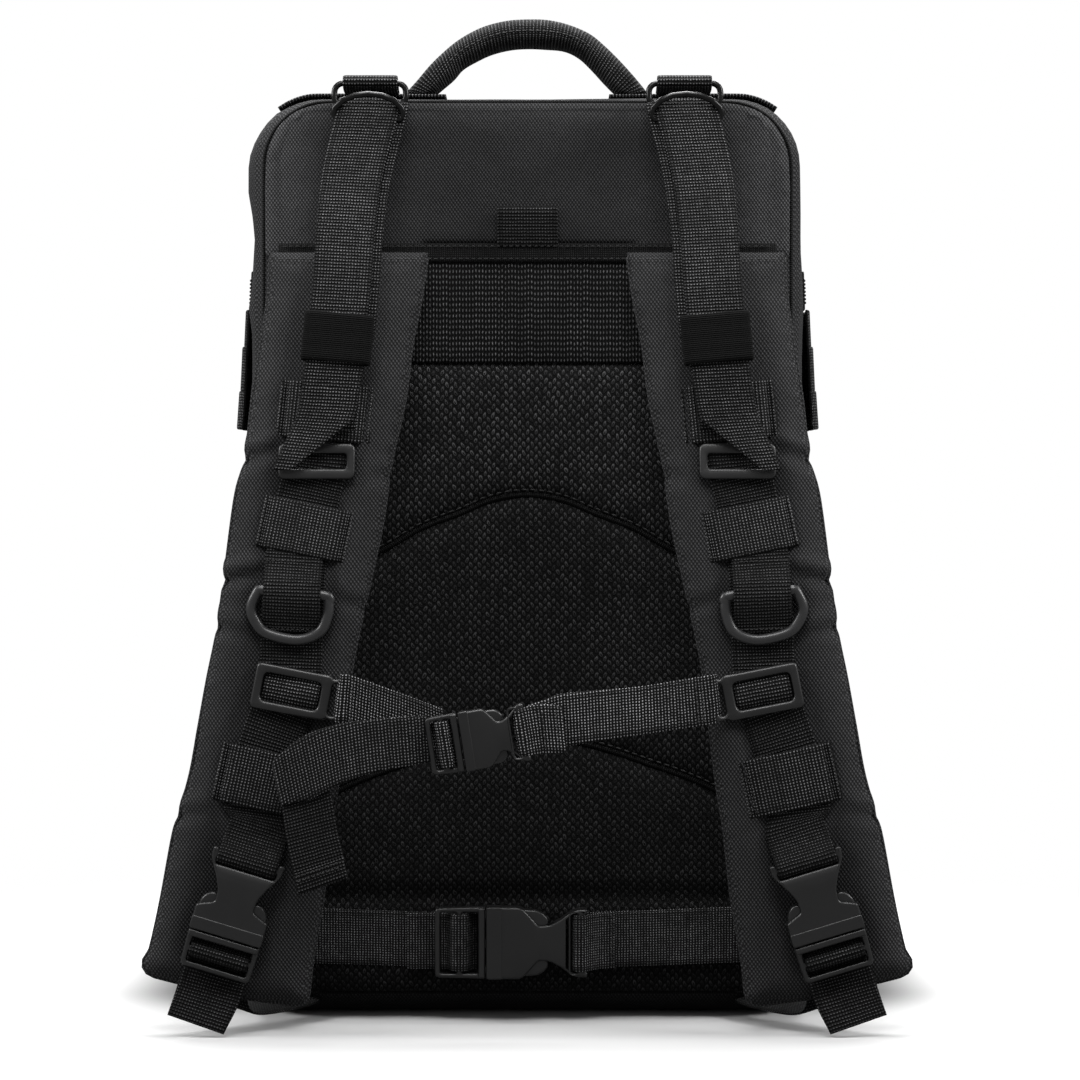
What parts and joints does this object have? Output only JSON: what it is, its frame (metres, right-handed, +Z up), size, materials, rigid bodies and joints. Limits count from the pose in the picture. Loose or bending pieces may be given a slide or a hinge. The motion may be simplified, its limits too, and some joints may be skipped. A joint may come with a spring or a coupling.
{
  "type": "backpack",
  "caption": "Upright panel-loading medical backpack with padded shoulder harness, sternum and hip straps, side-release buckles, D-rings, carry handle and front pocket.",
  "frame": {"origin": "centre of the packbag's flat base, on the floor", "axes": "+Z up along the packbag; -Y is the harness side that lies against the back; +X is to the right seen from the harness side"},
  "size_m": [0.4172, 0.3155, 0.5633],
  "materials": {
    "cordura": "black coated oxford cloth, fine basket weave, matt",
    "webbing": "black woven webbing, cross ribs, matt",
    "spacer_mesh": "black three-layer spacer mesh over foam, oval holes",
    "elastic": "black knitted elastic, fine cross lines",
    "buckle_plastic": "black moulded acetal, satin",
    "lacquered_wire": "black lacquered metal, satin",
    "frame_board": "dark grey extruded sheet"
  },
  "bodies": {
    "pack": {"main_shell": "cordura", "frame_sheet": "frame_board", "yoke_panel": "cordura", "back_band": "webbing", "back_pad_upper": "spacer_mesh", "back_pad_middle": "spacer_mesh", "back_pad_lower": "spacer_mesh", "hang_loop": "webbing", "side_webbing_left": "webbing", "side_webbing_right": "webbing", "ring_anchor_left": "webbing", "ring_anchor_right": "webbing", "upper_ring_left": "lacquered_wire", "upper_ring_right": "lacquered_wire", "load_lifter_left": "webbing", "load_lifter_right": "webbing", "anchor_webbing_left": "webbing", "anchor_webbing_right": "webbing", "hip_webbing_left": "webbing", "hip_webbing_right": "webbing", "hip_buckle_female": "buckle_plastic"},
    "handle": {"carry_handle": "webbing"},
    "hip_plug": {"hip_buckle_male": "buckle_plastic"},
    "flap": {"main_flap": "cordura", "front_pocket": "cordura"},
    "pocket_lid": {"pocket_door": "cordura"},
    "main_zip_left": {"main_zip_slider_left": "lacquered_wire"},
    "main_zip_right": {"main_zip_slider_right": "lacquered_wire"},
    "pocket_zip": {"pocket_zip_slider": "lacquered_wire"},
    "sternum_plug": {"sternum_buckle_male": "buckle_plastic", "sternum_tail": "webbing"},
    "strap_left": {"shoulder_pad_left": "cordura", "strap_webbing_left": "webbing", "keeper_upper_left": "webbing", "keeper_mid_left": "webbing", "keeper_lower_left": "webbing", "triglide_left": "buckle_plastic", "elastic_keeper_left": "elastic", "side_buckle_female_left": "buckle_plastic"},
    "d_ring_left": {"d_ring_left": "buckle_plastic"},
    "sternum_mount_left": {"sternum_slider_left": "buckle_plastic", "sternum_webbing_left": "webbing"},
    "side_plug_left": {"side_buckle_male_left": "buckle_plastic", "side_tail_left": "webbing"},
    "cinch_ring_left": {"lower_ring_left": "lacquered_wire"},
    "strap_right": {"shoulder_pad_right": "cordura", "strap_webbing_right": "webbing", "keeper_upper_right": "webbing", "keeper_mid_right": "webbing", "keeper_lower_right": "webbing", "triglide_right": "buckle_plastic", "elastic_keeper_right": "elastic", "side_buckle_female_right": "buckle_plastic"},
    "d_ring_right": {"d_ring_right": "buckle_plastic"},
    "sternum_mount_right": {"sternum_slider_right": "buckle_plastic", "sternum_webbing_right": "webbing", "sternum_buckle_female": "buckle_plastic"},
    "side_plug_right": {"side_buckle_male_right": "buckle_plastic", "side_tail_right": "webbing"},
    "cinch_ring_right": {"lower_ring_right": "lacquered_wire"}
  },
  "joints": [
    {"name": "handle_swing", "type": "hinge", "parent": "pack", "child": "handle", "pos_m": [0, -0.072, 0.519], "axis": [1, 0, 0], "range_deg": [-45, 45]},
    {"name": "left_strap_swing", "type": "hinge", "parent": "pack", "child": "strap_left", "pos_m": [-0.099, -0.1085, 0.429], "axis": [-1, 0, 0], "range_deg": [0, 35], "deforming": ["load_lifter_left", "anchor_webbing_left"]},
    {"name": "left_d_ring_flip", "type": "hinge", "parent": "strap_left", "child": "d_ring_left", "pos_m": [-0.12775, -0.16057, 0.24125], "axis": [-0.9957, 0.0059, 0.0926], "range_deg": [0, 120]},
    {"name": "left_sternum_slide", "type": "slide", "parent": "strap_left", "child": "sternum_mount_left", "axis": [0, 0.0646, 0.9979], "range_m": [-0.012, 0.008]},
    {"name": "left_side_buckle_release", "type": "slide", "parent": "strap_left", "child": "side_plug_left", "axis": [-0.2945, 0.0581, -0.9539], "range_m": [0, 0.028]},
    {"name": "left_cinch_ring_tilt", "type": "hinge", "parent": "pack", "child": "cinch_ring_left", "pos_m": [-0.0882, -0.1172, 0.5025], "axis": [1, 0, 0], "range_deg": [0, 60]},
    {"name": "right_strap_swing", "type": "hinge", "parent": "pack", "child": "strap_right", "pos_m": [0.099, -0.1085, 0.429], "axis": [-1, 0, 0], "range_deg": [0, 35], "deforming": ["load_lifter_right", "anchor_webbing_right"]},
    {"name": "right_d_ring_flip", "type": "hinge", "parent": "strap_right", "child": "d_ring_right", "pos_m": [0.12775, -0.16057, 0.24125], "axis": [-0.9957, -0.0059, -0.0926], "range_deg": [0, 120]},
    {"name": "right_sternum_slide", "type": "slide", "parent": "strap_right", "child": "sternum_mount_right", "axis": [0, 0.0646, 0.9979], "range_m": [-0.012, 0.008]},
    {"name": "right_side_buckle_release", "type": "slide", "parent": "strap_right", "child": "side_plug_right", "axis": [0.2945, 0.0581, -0.9539], "range_m": [0, 0.028]},
    {"name": "right_cinch_ring_tilt", "type": "hinge", "parent": "pack", "child": "cinch_ring_right", "pos_m": [0.0882, -0.1172, 0.5025], "axis": [1, 0, 0], "range_deg": [0, 60]},
    {"name": "sternum_buckle_release", "type": "slide", "parent": "sternum_mount_left", "child": "sternum_plug", "axis": [-0.988, 0, -0.1547], "range_m": [0, 0.03]},
    {"name": "hip_buckle_release", "type": "slide", "parent": "pack", "child": "hip_plug", "axis": [-1, 0, 0], "range_m": [0, 0.04]},
    {"name": "main_flap_open", "type": "hinge", "parent": "pack", "child": "flap", "pos_m": [0, 0.0805, 0.1104], "axis": [-1, 0, 0], "range_deg": [0, 90]},
    {"name": "pocket_open", "type": "hinge", "parent": "flap", "child": "pocket_lid", "pos_m": [0, 0.1388, 0.138], "axis": [-1, 0, 0], "range_deg": [0, 85]},
    {"name": "main_zip_left_slide", "type": "slide", "parent": "flap", "child": "main_zip_left", "axis": [-1, 0, 0], "range_m": [0, 0.075]},
    {"name": "main_zip_right_slide", "type": "slide", "parent": "flap", "child": "main_zip_right", "axis": [1, 0, 0], "range_m": [0, 0.075]},
    {"name": "pocket_zip_slide", "type": "slide", "parent": "flap", "child": "pocket_zip", "axis": [1, 0, 0], "range_m": [-0.085, 0.06]}
  ],
  "couplings": [
    {"joint": "right_strap_swing", "follows": "left_strap_swing", "ratio": 1},
    {"joint": "right_sternum_slide", "follows": "left_sternum_slide", "ratio": 1}
  ]
}
